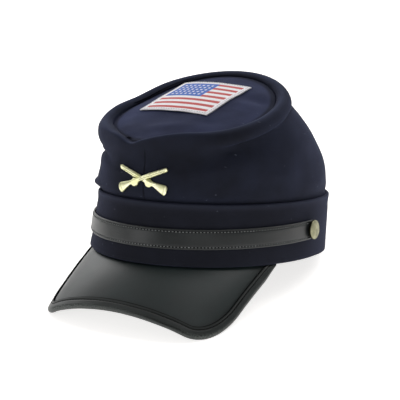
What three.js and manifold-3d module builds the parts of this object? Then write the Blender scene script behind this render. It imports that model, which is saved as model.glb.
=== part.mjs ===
// A soft kepi cap: a cloth crown that slopes up to a small sunken top with a rolled rim,
// a straight cloth band, a leather peak with a bound edge, a leather strap held by two
// brass side buttons, a brass crossed rifles badge and a sewn flag patch on the top.
// Millimetres, +Z up. The wearer looks along -Y, and the wearer's left is +X.
// Angles round the head are called turn: 0 is the front, 90 the wearer's left.

import * as THREE from 'three';
import Module from 'manifold-3d';
import { mergeVertices } from 'three/addons/utils/BufferGeometryUtils.js';

const wasm = await Module();
wasm.setup();

// Clearance between pieces that are sewn, pinned or laid against each other
const sewGap = 0.3;

// Band: a straight strip of doubled cloth, measured on its outside
const bandHalfWidth = 82;
const bandHalfLength = 101.3;
const bandHeight = 41;
const bandWall = 2.4;
const bandTopNarrowing = 2;
const bandTopShift = 5.7;

// Crown: one cloth wall from inside the band up to the rolled rim
const crownWall = 2;
const crownTuck = 8;
const crownSwell = 6;
const foldDepth = 6;

// Crest of the rolled rim, an oval ring that leans forward and climbs to the back
const rimHalfWidth = 63.8;
const rimHalfLength = 65.3;
const rimForward = 34.6;
const rimHeight = 104.3;
const rimPitch = 20.7;
const rimLean = 1.1;
const rimSag = 1.7;
const rollWidth = 10.8;
const rollHeight = 11;

// Top disc: sunk inside the rim and slightly domed, sewn onto the wall's turned-in lip
const topWall = 2;
const topSinkFront = 5.9;
const topSinkBack = 2.4;
const topDome = 4.6;
const lipWidth = 6;

// Peak: a shaped leather sheet with a flange that stands up inside the band
const peakWall = 2;
const peakTurn = 67;
const peakReach = 26.2;
const peakDrop = 25.5;
const peakCornerHalfWidth = 65.2;
const peakCornerSetback = 14.7;
const peakCornerDrop = 44.4;
const peakArch = 2.2;
const peakCornerAcross = 0.32;
const peakCornerAlong = 0.36;
const flangeHeight = 9;

// How sharply the peak's front edge bends back and down towards its corners, as powers
const peakSetbackBend = 2.4;
const peakDropBend = 1.9;

// Binding: a leather strip folded over the edge of the peak
const bindingWall = 0.9;
const bindingCover = 4;

// Strap across the front of the band
const strapWall = 2;
const strapWidth = 13.7;
const strapFrontHeight = 17.9;
const strapClimb = 3.6;

// Side buttons, each on a post riveted inside the band
const buttonTurn = 87;
const buttonRadius = 7.3;
const buttonDepth = 2.4;
const buttonDome = 0.8;
const postRadius = 1.5;
const rivetRadius = 3;
const rivetDepth = 0.8;

// Crossed rifles badge, stamped brass on two posts. badgeRise is its place on the way up
// the crown's front, rifleShare a rifle's length as a share of the front's height, and
// badgePostShare the posts' spacing as a share of a rifle's length.
const badgeRise = 0.528;
const rifleShare = 1.287;
const rifleAngle = 21.5;
const rifleDepth = 1.6;
const rifleLift = 0.9;
const badgeTilt = 2.5;
const badgePostRadius = 1;
const badgePostShare = 0.33;
const badgePostReach = 5;

// Flag patch on the top disc
const patchWidth = 65;
const patchLength = 51;
const patchWall = 1;
const patchTwist = -11.8;
const patchBack = 14.5;
const patchAside = -6.5;

// How deep the soft edges that carry the cap are pressed flat on the surface it rests on
const restPress = 0.5;

// Steps round the head of the curved pieces
const crownSteps = 64;
const bandSteps = 72;

// Crown wall between band and rim. rise is the share of the way up, and the other
// columns are how far the cloth swells there, as shares of crownSwell.
const wallSections = [
  { rise: 0.0, front: 0.0, side: 0.0, back: 0.0 },
  { rise: 0.12, front: 0.35, side: 0.5, back: 0.5 },
  { rise: 0.3, front: 0.45, side: 0.95, back: 1.0 },
  { rise: 0.5, front: 0.4, side: 1.1, back: 1.2 },
  { rise: 0.7, front: 0.3, side: 0.95, back: 1.0 },
  { rise: 0.86, front: 0.15, side: 0.5, back: 0.6 },
  { rise: 1.0, front: 0.0, side: 0.0, back: 0.0 },
];

// Section of the rolled rim, from the crease under it over the crest and down inside.
// out is a share of rollWidth and up a share of rollHeight.
const rollSection = [
  { out: 0.36, up: -1.0 },
  { out: 0.5, up: -0.76 },
  { out: 0.52, up: -0.48 },
  { out: 0.36, up: -0.16 },
  { out: 0.0, up: 0.0 },
  { out: -0.3, up: -0.12 },
  { out: -0.46, up: -0.34 },
];

// The roll round the rim. drop is how far it hangs down to its crease, as a share of
// rollHeight, and hang how far it stands out over the wall, as a share of rollWidth.
const rollSections = [
  { turn: -180, drop: 0.9, hang: 0.9 },
  { turn: -120, drop: 1.1, hang: 1.0 },
  { turn: -62, drop: 1.5, hang: 1.0 },
  { turn: -25, drop: 1.3, hang: 0.35 },
  { turn: 12, drop: 1.0, hang: 0.35 },
  { turn: 45, drop: 0.9, hang: 0.95 },
  { turn: 110, drop: 0.9, hang: 1.0 },
];

// Soft dents (negative) and bulges of the crown wall. turn and spread are degrees round
// the head, rise and reach are shares of the wall, depth is a share of foldDepth.
const crownFolds = [
  { turn: -75, spread: 30, rise: 0.13, reach: 0.1, depth: 0.4 },
  { turn: -66, spread: 30, rise: 0.5, reach: 0.28, depth: -0.5 },
  { turn: -62, spread: 26, rise: 0.86, reach: 0.14, depth: -0.45 },
  { turn: 34, spread: 16, rise: 0.82, reach: 0.14, depth: -0.45 },
  { turn: 62, spread: 18, rise: 0.88, reach: 0.16, depth: -0.5 },
  { turn: 118, spread: 26, rise: 0.4, reach: 0.25, depth: 0.35 },
  { turn: 165, spread: 16, rise: 0.55, reach: 0.2, depth: -0.4 },
  { turn: -150, spread: 20, rise: 0.45, reach: 0.25, depth: -0.35 },
];

// Outline of one rifle from butt to muzzle. along is a share of rifleLength, over and
// under are its edges above and below the barrel's line, as shares of rifleLength too.
const rifleOutline = [
  { along: 0.0, over: 0.055, under: 0.11 },
  { along: 0.05, over: 0.065, under: 0.1 },
  { along: 0.2, over: 0.045, under: 0.06 },
  { along: 0.29, over: 0.035, under: 0.045 },
  { along: 0.34, over: 0.045, under: 0.085 },
  { along: 0.42, over: 0.045, under: 0.085 },
  { along: 0.47, over: 0.042, under: 0.045 },
  { along: 0.6, over: 0.042, under: 0.042 },
  { along: 0.74, over: 0.042, under: 0.042 },
  { along: 0.87, over: 0.038, under: 0.038 },
  { along: 1.0, over: 0.038, under: 0.038 },
];

function lerp(a, b, share) {
  return a + (b - a) * share;
}

function easeBetween(a, b, share) {
  return lerp(a, b, 0.5 - 0.5 * Math.cos(Math.PI * share));
}

// Value of a table's column at a place between its rows
function lookUp(rows, key, place, column) {
  for (let i = 1; i < rows.length; i += 1) {
    if (place <= rows[i][key]) {
      const share = (place - rows[i - 1][key]) / (rows[i][key] - rows[i - 1][key]);
      return lerp(rows[i - 1][column], rows[i][column], share);
    }
  }
  return rows[rows.length - 1][column];
}

// The same round a full circle, eased between rows; the angle is in radians
function lookUpRound(rows, column, angle) {
  const start = rows[0].turn;
  const place = THREE.MathUtils.euclideanModulo(THREE.MathUtils.radToDeg(angle) - start, 360);
  for (let i = 0; i < rows.length; i += 1) {
    const next = rows[(i + 1) % rows.length];
    const from = rows[i].turn - start;
    const to = i + 1 < rows.length ? next.turn - start : 360;
    if (place <= to) {
      return easeBetween(rows[i][column], next[column], (place - from) / (to - from));
    }
  }
  return rows[0][column];
}

// The same angle between -PI and PI
function remainder(angle) {
  return THREE.MathUtils.euclideanModulo(angle + Math.PI, 2 * Math.PI) - Math.PI;
}

function turns(steps) {
  return Array.from({ length: steps }, (_, i) => (i / steps) * 2 * Math.PI);
}

function shares(steps) {
  return Array.from({ length: steps + 1 }, (_, i) => i / steps);
}

// Closed skin over matching outlines. Without a flat outline the last one joins the
// first; with one, both ends are closed by a cap triangulated in that flat outline.
function skin(outlines, flatOutline) {
  const count = outlines[0].length;
  const faces = [];
  const spans = flatOutline ? outlines.length - 1 : outlines.length;
  for (let i = 0; i < spans; i += 1) {
    const here = i * count;
    const there = ((i + 1) % outlines.length) * count;
    for (let j = 0; j < count; j += 1) {
      const k = (j + 1) % count;
      faces.push(here + j, here + k, there + k);
      faces.push(here + j, there + k, there + j);
    }
  }
  if (flatOutline) {
    const last = (outlines.length - 1) * count;
    for (const [a, b, c] of THREE.ShapeUtils.triangulateShape(flatOutline, [])) {
      const turned = THREE.ShapeUtils.isClockWise(flatOutline);
      const [p, q, r] = turned ? [a, b, c] : [a, c, b];
      faces.push(p, q, r);
      faces.push(last + p, last + r, last + q);
    }
  }
  return closedGeometry(outlines.flat(), faces);
}

// Geometry with its faces pointing outwards
function closedGeometry(points, faces) {
  let volume = 0;
  for (let i = 0; i < faces.length; i += 3) {
    const [a, b, c] = [points[faces[i]], points[faces[i + 1]], points[faces[i + 2]]];
    volume += a.dot(b.clone().cross(c));
  }
  if (volume < 0) {
    faces.reverse();
  }
  const geometry = new THREE.BufferGeometry().setFromPoints(points);
  geometry.setIndex(faces);
  return geometry;
}

// Outlines of a sheet with a wall on both sides of a grid of points. The grid's rows go
// round or along the piece, and its columns across it.
function sheetOutlines(grid, above, below, joined) {
  const last = grid.length - 1;
  return grid.map((row, i) => {
    const before = grid[joined ? (i + last) % grid.length : Math.max(i - 1, 0)];
    const after = grid[joined ? (i + 1) % grid.length : Math.min(i + 1, last)];
    const normals = row.map((_, j) => {
      const along = after[j].clone().sub(before[j]);
      const across = row[Math.min(j + 1, row.length - 1)].clone().sub(row[Math.max(j - 1, 0)]);
      return along.cross(across).normalize();
    });
    const upper = row.map((point, j) => point.clone().addScaledVector(normals[j], above));
    const lower = row.map((point, j) => point.clone().addScaledVector(normals[j], -below));
    return [...upper, ...lower.reverse()];
  });
}

// Flat outline that stands for a sheet's cut end
function sheetEnd(row) {
  const upper = row.map((_, j) => new THREE.Vector2(j, 1));
  const lower = row.map((_, j) => new THREE.Vector2(j, 0));
  return [...upper, ...lower.reverse()];
}

function toSolid(geometry) {
  const bare = new THREE.BufferGeometry();
  bare.setAttribute('position', geometry.getAttribute('position').clone());
  if (geometry.index) {
    bare.setIndex(geometry.index.clone());
  }
  const merged = mergeVertices(bare);
  return new wasm.Manifold(new wasm.Mesh({
    numProp: 3,
    vertProperties: new Float32Array(merged.getAttribute('position').array),
    triVerts: new Uint32Array(merged.index.array),
  }));
}

function toGeometry(solid) {
  const mesh = solid.getMesh();
  const geometry = new THREE.BufferGeometry();
  geometry.setAttribute('position', new THREE.BufferAttribute(mesh.vertProperties, 3));
  geometry.setIndex(new THREE.BufferAttribute(mesh.triVerts, 1));
  return geometry;
}

function piece(name, geometry, color, roughness, metalness) {
  const drawn = geometry.toNonIndexed();
  drawn.computeVertexNormals();
  const material = new THREE.MeshStandardMaterial({ color, roughness, metalness });
  const mesh = new THREE.Mesh(drawn, material);
  mesh.name = name;
  return mesh;
}

// Point of an upright ring that follows the band, at a height and inside its outer face
function bandPoint(angle, height, inset) {
  const share = height / bandHeight;
  const halfWidth = bandHalfWidth - bandTopNarrowing * share - inset;
  const halfLength = bandHalfLength - inset;
  return new THREE.Vector3(
    halfWidth * Math.sin(angle),
    -halfLength * Math.cos(angle) + bandTopShift * share,
    height,
  );
}

// Direction straight out of the band's outer face
function bandNormal(angle) {
  const quarter = Math.PI / 2;
  const round = bandPoint(angle + quarter, 0, 0);
  const upward = bandPoint(angle, bandHeight, 0).sub(bandPoint(angle, 0, 0));
  return round.cross(upward).normalize();
}

// The rim's own directions: across, to the back, and up out of the top
const rimTurn = new THREE.Euler(
  THREE.MathUtils.degToRad(rimPitch),
  -THREE.MathUtils.degToRad(rimLean),
  0,
);
const rimCentre = new THREE.Vector3(0, -rimForward, rimHeight);

// Point near the rim: out is measured away from the crest and up above it. share runs
// from 1 at the crest's ring to 0 at the centre.
function rimPoint(angle, out, up, share = 1) {
  const flat = new THREE.Vector3(
    share * (rimHalfWidth + out) * Math.sin(angle),
    -share * (rimHalfLength + out) * Math.cos(angle),
    up + share * share * rimSag * Math.cos(2 * angle),
  );
  return flat.applyEuler(rimTurn).add(rimCentre);
}

// Crown wall: from the crown's edge inside the band to the crease under the roll
const crownInset = bandWall + sewGap;

function rollPoint(angle, row) {
  const drop = row.out > 0 ? lookUpRound(rollSections, 'drop', angle) : 1;
  const hang = row.out > 0 ? lookUpRound(rollSections, 'hang', angle) : 1;
  return rimPoint(angle, row.out * rollWidth * hang, row.up * rollHeight * drop);
}

function foldAt(angle, rise) {
  let depth = 0;
  for (const fold of crownFolds) {
    const away = remainder(angle - THREE.MathUtils.degToRad(fold.turn));
    const round = THREE.MathUtils.radToDeg(away);
    const near = (round / fold.spread) ** 2 + ((rise - fold.rise) / fold.reach) ** 2;
    depth += fold.depth * foldDepth * Math.exp(-near);
  }
  return depth * Math.sin(Math.PI * Math.min(rise * 4, 0.5));
}

function wallPoint(angle, rise) {
  const foot = bandPoint(angle, bandHeight, crownInset);
  const head = rollPoint(angle, rollSection[0]);
  const facing = Math.cos(angle);
  const end = lookUp(wallSections, 'rise', rise, facing > 0 ? 'front' : 'back');
  const side = lookUp(wallSections, 'rise', rise, 'side');
  const swell = crownSwell * lerp(side, end, facing * facing);
  const point = foot.lerp(head, rise);
  return point.addScaledVector(bandNormal(angle), swell + foldAt(angle, rise));
}

// Cloth crown wall with its rolled rim. The lip that it turns in carries the top disc.
function crownSide() {
  const innerFace = -0.5 * rollWidth;
  const grid = turns(crownSteps).map((angle) => {
    const lipTop = -sinkAt(angle) - topWall - sewGap;
    return [
      bandPoint(angle, bandHeight - crownTuck, crownInset),
      ...wallSections.map((section) => wallPoint(angle, section.rise)),
      ...rollSection.slice(1).map((row) => rollPoint(angle, row)),
      rimPoint(angle, innerFace, lipTop + 0.25 * crownWall),
      rimPoint(angle, innerFace - 0.25 * crownWall, lipTop),
      rimPoint(angle, innerFace - lipWidth, lipTop),
    ];
  });
  let solid = toSolid(skin(sheetOutlines(grid, 0, crownWall, true)));
  for (const side of [-1, 1]) {
    solid = solid.subtract(toSolid(badgePost(side, badgePostRadius + sewGap, badgePostReach * 2)));
  }
  return toGeometry(solid);
}

// Top disc: lens-shaped cloth, dropped inside the roll
const topInset = 0.5 * rollWidth + sewGap;

// How far the disc's edge lies below the crest, deepest at the front
function sinkAt(angle) {
  return easeBetween(topSinkFront, topSinkBack, Math.abs(remainder(angle)) / Math.PI);
}

function topPoint(angle, share, lift) {
  const middleSink = 0.5 * (topSinkFront + topSinkBack);
  const sink = lerp(middleSink, sinkAt(angle), share);
  const dome = topDome * (1 - share * share);
  return rimPoint(angle, -topInset, -sink + dome + lift, share);
}

function crownTop() {
  const rings = [0.9, 0.66, 0.36];
  const grid = turns(crownSteps).map((angle) => [
    topPoint(angle, 1, 0),
    ...rings.map((share) => topPoint(angle, share, 0)),
  ]);
  const centre = topPoint(0, 0, 0);
  const underCentre = topPoint(0, 0, -topWall);
  const count = rings.length + 1;
  const lowered = turns(crownSteps).map((angle) => [
    topPoint(angle, 1, -topWall),
    ...rings.map((share) => topPoint(angle, share, -topWall)),
  ]);
  const points = [...grid.flat(), ...lowered.flat(), centre, underCentre];
  const under = crownSteps * count;
  const middle = 2 * under;
  const faces = [];
  for (let i = 0; i < crownSteps; i += 1) {
    const here = i * count;
    const there = ((i + 1) % crownSteps) * count;
    for (let j = 0; j + 1 < count; j += 1) {
      faces.push(here + j, there + j, there + j + 1);
      faces.push(here + j, there + j + 1, here + j + 1);
      faces.push(under + here + j, under + there + j + 1, under + there + j);
      faces.push(under + here + j, under + here + j + 1, under + there + j + 1);
    }
    faces.push(here + count - 1, there + count - 1, middle);
    faces.push(under + here + count - 1, middle + 1, under + there + count - 1);
    faces.push(here, under + here, under + there);
    faces.push(here, under + there, there);
  }
  return closedGeometry(points, faces);
}

// Peak: inner edge just under the band, then out and down to a bent front edge
const peakInset = bandWall + sewGap + 0.5 * peakWall;
const peakSeat = 0.5 * peakWall - 0.4;

function peakPoint(across, along) {
  const limit = THREE.MathUtils.degToRad(peakTurn);
  const angle = across * limit;
  const inner = bandPoint(angle, 0, peakInset);
  inner.z = -peakSeat;
  const side = Math.abs(across);
  const front = new THREE.Vector3(
    (peakCornerHalfWidth * Math.sin(angle)) / Math.sin(limit),
    -bandHalfLength - peakReach + peakCornerSetback * side ** peakSetbackBend,
    -peakDrop - (peakCornerDrop - peakDrop) * side ** peakDropBend,
  );
  const point = inner.lerp(front, along);
  point.z += 4 * peakArch * along * (1 - along);
  return point;
}

// How far the peak goes along at a place across, with its corners rounded
function peakLimit(across) {
  const past = Math.max(0, (Math.abs(across) - 1 + peakCornerAcross) / peakCornerAcross);
  const round = Math.sqrt(Math.max(0, 1 - past * past));
  return 1 - peakCornerAlong + peakCornerAlong * round;
}

// Places of the peak's sections, closer together towards the ends of its rounded corners
const cornerPlaces = shares(7).map((share) => Math.sin(0.5 * Math.PI * share));
const peakAlong = shares(8);
const peakAcross = [
  ...cornerPlaces.map((place) => peakCornerAcross * (1 - place) - 1).reverse(),
  ...shares(8).slice(1, -1).map((share) => (1 - peakCornerAcross) * (2 * share - 1)),
  ...cornerPlaces.map((place) => 1 - peakCornerAcross * (1 - place)),
];

function peak() {
  const limit = THREE.MathUtils.degToRad(peakTurn);
  const grid = peakAcross.map((across) => [
    bandPoint(across * limit, flangeHeight, peakInset),
    bandPoint(across * limit, 0.2 * flangeHeight, peakInset),
    ...peakAlong.map((share) => peakPoint(across, share * peakLimit(across))),
  ]);
  const half = 0.5 * peakWall;
  return skin(sheetOutlines(grid, half, half, false), sheetEnd(grid[0]));
}

// Binding: a folded strip that holds the edge of the peak in its slot
const bindingHalf = 0.5 * peakWall + sewGap + bindingWall;
const bindingReach = sewGap + 3 * bindingWall;

function bindingSection() {
  const slot = 0.5 * peakWall + sewGap;
  return [
    [-bindingCover, slot],
    [-bindingCover, 0.85 * bindingHalf],
    [-0.4 * bindingCover, bindingHalf],
    [0.3 * bindingReach, 0.95 * bindingHalf],
    [0.8 * bindingReach, 0.55 * bindingHalf],
    [bindingReach, 0],
    [0.8 * bindingReach, -0.55 * bindingHalf],
    [0.3 * bindingReach, -0.95 * bindingHalf],
    [-0.4 * bindingCover, -bindingHalf],
    [-bindingCover, -0.85 * bindingHalf],
    [-bindingCover, -slot],
    [sewGap, -slot],
    [sewGap, slot],
  ].map(([out, up]) => new THREE.Vector2(out, up));
}

// Places along the bound edge: up one side, round the front and back along the other
function bindingPlaces() {
  const start = 0.3 * peakAlong[1];
  const sides = [start, ...peakAlong.slice(1)].map((share) => share * peakLimit(1));
  return [
    ...sides.map((along) => [-1, along]),
    ...peakAcross.slice(1, -1).map((across) => [across, peakLimit(across)]),
    ...sides.reverse().map((along) => [1, along]),
  ];
}

function bindingOutlines() {
  const places = bindingPlaces();
  const step = 0.001;
  const edge = places.map(([across, along]) => peakPoint(across, along));
  const section = bindingSection();
  return places.map(([across, along], i) => {
    const before = edge[Math.max(i - 1, 0)];
    const after = edge[Math.min(i + 1, edge.length - 1)];
    const tangent = after.clone().sub(before).normalize();
    const aside = peakPoint(across + step, along).sub(peakPoint(across - step, along));
    const onward = peakPoint(across, along + step).sub(peakPoint(across, along - step));
    const normal = onward.cross(aside).normalize();
    const outward = tangent.clone().cross(normal).normalize();
    return section.map((p) => edge[i].clone()
      .addScaledVector(outward, p.x)
      .addScaledVector(normal, p.y));
  });
}

// A block that fills everything above a level, to trim what reaches too high
function blockAbove(height) {
  const size = 4 * bandHalfLength;
  const block = new THREE.BoxGeometry(size, size, size);
  block.translate(0, 0, height + 0.5 * size);
  return toSolid(block);
}

function peakBinding() {
  const solid = toSolid(skin(bindingOutlines(), bindingSection()));
  return toGeometry(solid.subtract(blockAbove(-sewGap)));
}

// Strap: lies on the band, climbs a little to the sides and ends round under the buttons
const buttonAngle = THREE.MathUtils.degToRad(buttonTurn);

function strapHeight(angle) {
  return strapFrontHeight + strapClimb * (1 - Math.cos(angle));
}

function strap() {
  const reach = bandPoint(buttonAngle + Math.PI / 2, 0, 0).length();
  const endTurn = (0.5 * strapWidth) / reach;
  const ends = [1, 0.94, 0.8, 0.55, 0.25];
  const angles = [
    ...ends.map((share) => -buttonAngle - endTurn * share),
    ...shares(40).map((share) => buttonAngle * (2 * share - 1)),
    ...ends.map((share) => buttonAngle + endTurn * share).reverse(),
  ];
  const outlines = angles.map((angle) => {
    const past = Math.max(0, Math.abs(angle) - buttonAngle) / endTurn;
    const half = 0.5 * strapWidth * Math.sqrt(Math.max(0.02, 1 - past * past));
    const middle = strapHeight(angle);
    return [
      bandPoint(angle, middle - half, -sewGap),
      bandPoint(angle, middle + half, -sewGap),
      bandPoint(angle, middle + half, -sewGap - 0.75 * strapWall),
      bandPoint(angle, middle + half - 0.5, -sewGap - strapWall),
      bandPoint(angle, middle - half + 0.5, -sewGap - strapWall),
      bandPoint(angle, middle - half, -sewGap - 0.75 * strapWall),
    ];
  });
  const flat = [[0, 0], [4, 0], [4, 1], [3, 2], [1, 2], [0, 1]];
  let solid = toSolid(skin(outlines, flat.map(([x, y]) => new THREE.Vector2(x, y))));
  for (const side of [-1, 1]) {
    solid = solid.subtract(toSolid(buttonHole(side)));
  }
  return toGeometry(solid);
}

// Where a side button sits, with its local +Y pointing straight out of the band
function seatOnBand(object, side) {
  const angle = side * buttonAngle;
  object.position.copy(bandPoint(angle, strapHeight(angle), 0));
  object.quaternion.setFromUnitVectors(new THREE.Vector3(0, 1, 0), bandNormal(angle));
  return object;
}

function buttonHole(side) {
  const radius = postRadius + sewGap;
  const hole = new THREE.CylinderGeometry(radius, radius, 4 * buttonRadius, 16);
  const seat = seatOnBand(new THREE.Object3D(), side);
  seat.updateMatrix();
  return hole.applyMatrix4(seat.matrix);
}

// Button: domed face, turned edge, post and rivet head in one solid of revolution
function sideButton() {
  const back = 2 * sewGap + strapWall;
  const front = back + buttonDepth;
  const inside = -bandWall - sewGap;
  const profile = [
    [0, inside - rivetDepth],
    [rivetRadius, inside - rivetDepth],
    [rivetRadius, inside],
    [postRadius, inside],
    [postRadius, back],
    [0.93 * buttonRadius, back],
    [buttonRadius, back + 0.3 * buttonDepth],
    [buttonRadius, front - 0.4 * buttonDepth],
    [0.9 * buttonRadius, front - 0.1 * buttonDepth],
    [0.6 * buttonRadius, front + 0.6 * buttonDome],
    [0, front + buttonDome],
  ];
  const lathe = new THREE.LatheGeometry(profile.map(([x, y]) => new THREE.Vector2(x, y)), 20);
  return toGeometry(toSolid(lathe));
}

function band() {
  const heights = [0, 0.04, 0.5, 0.96, 1];
  const grid = turns(bandSteps).map((angle) => {
    const outer = heights.map((share) => {
      const inset = share === 0 || share === 1 ? 0.3 * bandWall : 0;
      return bandPoint(angle, share * bandHeight, inset);
    });
    const inner = [1, 0].map((share) => bandPoint(angle, share * bandHeight, bandWall));
    return [...outer, ...inner];
  });
  let solid = toSolid(skin(grid));
  for (const side of [-1, 1]) {
    solid = solid.subtract(toSolid(buttonHole(side)));
  }
  return toGeometry(solid);
}

// Angle and rise of the crown's front at a place across and a height, by a few repeats
function frontPlace(across, height) {
  let angle = across / bandHalfWidth;
  let rise = (height - bandHeight) / (rimHeight - bandHeight);
  for (let i = 0; i < 20; i += 1) {
    const point = wallPoint(angle, rise);
    angle += (across - point.x) / bandHalfWidth;
    rise += (height - point.z) / rimHeight;
  }
  return { angle, rise };
}

// The badge's place and size on the front, between the band and the crease under the roll
const frontHeight = wallPoint(0, 1).z - bandHeight;
const badgeHeight = bandHeight + badgeRise * frontHeight;
const rifleLength = rifleShare * frontHeight;
const badgePostSpacing = badgePostShare * rifleLength;

// Badge surface: a point lifted off the crown's front by a height over the cloth
function overFront(across, height, lift) {
  const { angle, rise } = frontPlace(across, height);
  const step = 0.01;
  const aside = wallPoint(angle + step, rise).sub(wallPoint(angle - step, rise));
  const onward = wallPoint(angle, rise + step).sub(wallPoint(angle, rise - step));
  const normal = aside.cross(onward).normalize();
  return wallPoint(angle, rise).addScaledVector(normal, sewGap + lift);
}

function badgePost(side, radius, reach) {
  const post = new THREE.CylinderGeometry(radius, radius, reach, 12);
  const seat = new THREE.Object3D();
  const across = 0.5 * side * badgePostSpacing;
  const drop = Math.tan(THREE.MathUtils.degToRad(rifleAngle)) * 0.5 * badgePostSpacing;
  seat.position.copy(overFront(across, badgeHeight - drop, 0.5 * rifleDepth));
  seat.position.y += 0.5 * badgePostReach;
  seat.updateMatrix();
  return post.applyMatrix4(seat.matrix);
}

// One rifle, bent to the crown's front: butt on the left for a side of 1. It is thicker
// where it lies over the other, and its upper edges are bevelled.
function rifle(side, lift) {
  const spin = THREE.MathUtils.degToRad(rifleAngle);
  const tilt = THREE.MathUtils.degToRad(badgeTilt);
  const pivot = new THREE.Vector2();
  const top = rifleDepth + lift;
  const edge = (over, under) => [
    [-under, 0],
    [over, 0],
    [over, 0.6 * top],
    [0.6 * over, top],
    [-0.6 * under, top],
    [-under, 0.6 * top],
  ];
  const outlines = rifleOutline.map((row) => edge(row.over, row.under).map(([up, depth]) => {
    const flat = new THREE.Vector2((row.along - 0.5) * rifleLength, up * rifleLength);
    flat.rotateAround(pivot, spin);
    flat.x *= side;
    flat.rotateAround(pivot, tilt);
    return overFront(flat.x, badgeHeight + flat.y, depth);
  }));
  const end = edge(1, 1).map(([up, depth]) => new THREE.Vector2(up, depth));
  return toSolid(skin(outlines, end));
}

function crossedRifles() {
  let solid = rifle(1, 0).add(rifle(-1, rifleLift));
  for (const side of [-1, 1]) {
    solid = solid.add(toSolid(badgePost(side, badgePostRadius, badgePostReach)));
  }
  return toGeometry(solid);
}

// Flag patch: a thin cloth rectangle that follows the domed top
function flagPatch() {
  const twist = THREE.MathUtils.degToRad(patchTwist);
  const halfWidth = rimHalfWidth - topInset;
  const halfLength = rimHalfLength - topInset;
  const grid = shares(12).map((u) => shares(9).map((v) => {
    const flat = new THREE.Vector2((u - 0.5) * patchWidth, (v - 0.5) * patchLength);
    flat.rotateAround(new THREE.Vector2(), twist);
    const across = (flat.x + patchAside) / halfWidth;
    const forward = -(flat.y + patchBack) / halfLength;
    const share = Math.hypot(across, forward);
    return topPoint(Math.atan2(across, forward), share, sewGap + 0.5 * patchWall);
  }));
  const half = 0.5 * patchWall;
  return skin(sheetOutlines(grid, half, half, false), sheetEnd(grid[0]));
}

// Rest: the cap leans back until the peak's corners and the band's back edge carry it
function restAngle() {
  let angle = 0;
  for (const outline of bindingOutlines()) {
    for (const point of outline) {
      angle = Math.max(angle, Math.atan2(-point.z, bandHalfLength - point.y));
    }
  }
  return angle;
}

const lean = restAngle();

function pressedFlat(geometry) {
  const size = 6 * bandHalfLength;
  const surface = new THREE.BoxGeometry(size, size, size);
  surface.translate(0, 0, -0.5 * size - bandHalfLength * Math.sin(lean) + restPress);
  surface.rotateX(lean);
  return toGeometry(toSolid(geometry).subtract(toSolid(surface)));
}

const navy = 0x2a2f3e;
const blackLeather = 0x26292a;
const brass = 0xb4b07e;

const cap = new THREE.Group();
cap.add(piece('band', pressedFlat(band()), navy, 0.9, 0));
cap.add(piece('crown_side', crownSide(), navy, 0.92, 0));
cap.add(piece('crown_top', crownTop(), 0x3a4050, 0.92, 0));
cap.add(piece('peak', peak(), blackLeather, 0.4, 0));
cap.add(piece('peak_binding', pressedFlat(peakBinding()), 0x303434, 0.45, 0));
cap.add(piece('chin_strap', strap(), blackLeather, 0.5, 0));
cap.add(seatOnBand(piece('button_left', sideButton(), brass, 0.4, 1), 1));
cap.add(seatOnBand(piece('button_right', sideButton(), brass, 0.4, 1), -1));
cap.add(piece('crossed_rifles', crossedRifles(), 0xe0dca8, 0.35, 1));
cap.add(piece('flag_patch', flagPatch(), 0xe6e2e0, 0.8, 0));
cap.rotation.x = -lean;

// The origin is under the middle of the cap, on the surface that it rests on
const part = new THREE.Group();
part.add(cap);
const extent = new THREE.Box3().setFromObject(part, true);
const middle = extent.getCenter(new THREE.Vector3());
cap.position.set(-middle.x, -middle.y, -extent.min.z);

export default part;
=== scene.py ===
import math

import bmesh
import bpy
import numpy as np
from mathutils import Euler, Matrix, Vector, noise


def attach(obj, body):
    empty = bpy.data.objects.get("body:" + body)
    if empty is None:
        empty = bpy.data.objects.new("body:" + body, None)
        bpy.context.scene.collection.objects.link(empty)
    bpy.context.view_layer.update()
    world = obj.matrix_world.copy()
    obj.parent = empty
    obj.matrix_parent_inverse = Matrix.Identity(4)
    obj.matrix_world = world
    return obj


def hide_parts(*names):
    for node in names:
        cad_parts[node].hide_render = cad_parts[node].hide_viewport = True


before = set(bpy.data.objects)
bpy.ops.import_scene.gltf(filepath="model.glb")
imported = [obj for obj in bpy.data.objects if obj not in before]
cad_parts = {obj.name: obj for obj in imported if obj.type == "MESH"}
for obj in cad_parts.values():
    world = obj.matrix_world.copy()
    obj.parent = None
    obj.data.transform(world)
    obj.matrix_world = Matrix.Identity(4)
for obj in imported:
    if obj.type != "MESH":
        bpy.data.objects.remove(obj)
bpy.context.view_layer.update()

# Camera: in front of the cap, to its left and a little above, 750 mm away. Shapes are worked
# out in the cap's own frame, in millimetres, where the band stands upright with its lower edge
# at height 0 and the peak points along -Y. cap_place leans it back as it rests, in metres.
cap_lean = math.radians(10.449)
cap_place = (
    Matrix.Translation((0.0, 0.0102536, 0.0178710))
    @ Matrix.Rotation(-cap_lean, 4, "X")
    @ Matrix.Scale(0.001, 4)
)
camera_turn = math.radians(29.498)
camera_rise = math.radians(7.168)
camera_roll = math.radians(2.247)
camera_away = 750.0
camera_aside = -8.05
camera_above = 32.64
camera_lens = 90.08

back = Vector((
    math.sin(camera_turn) * math.cos(camera_rise),
    -math.cos(camera_turn) * math.cos(camera_rise),
    math.sin(camera_rise),
))
level = Vector((math.cos(camera_turn), math.sin(camera_turn), 0.0))
right = level * math.cos(camera_roll) + back.cross(level) * math.sin(camera_roll)
up = back.cross(right)
stand = back * camera_away + right * camera_aside + up * camera_above
camera = bpy.data.objects.new("camera", bpy.data.cameras.new("camera"))
camera.data.lens = camera_lens
camera.matrix_world = (
    Matrix.Translation(cap_place @ stand)
    @ Matrix.Rotation(-cap_lean, 4, "X")
    @ Matrix((right, up, back)).transposed().to_4x4()
)
bpy.context.collection.objects.link(camera)
bpy.context.scene.camera = camera


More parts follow.
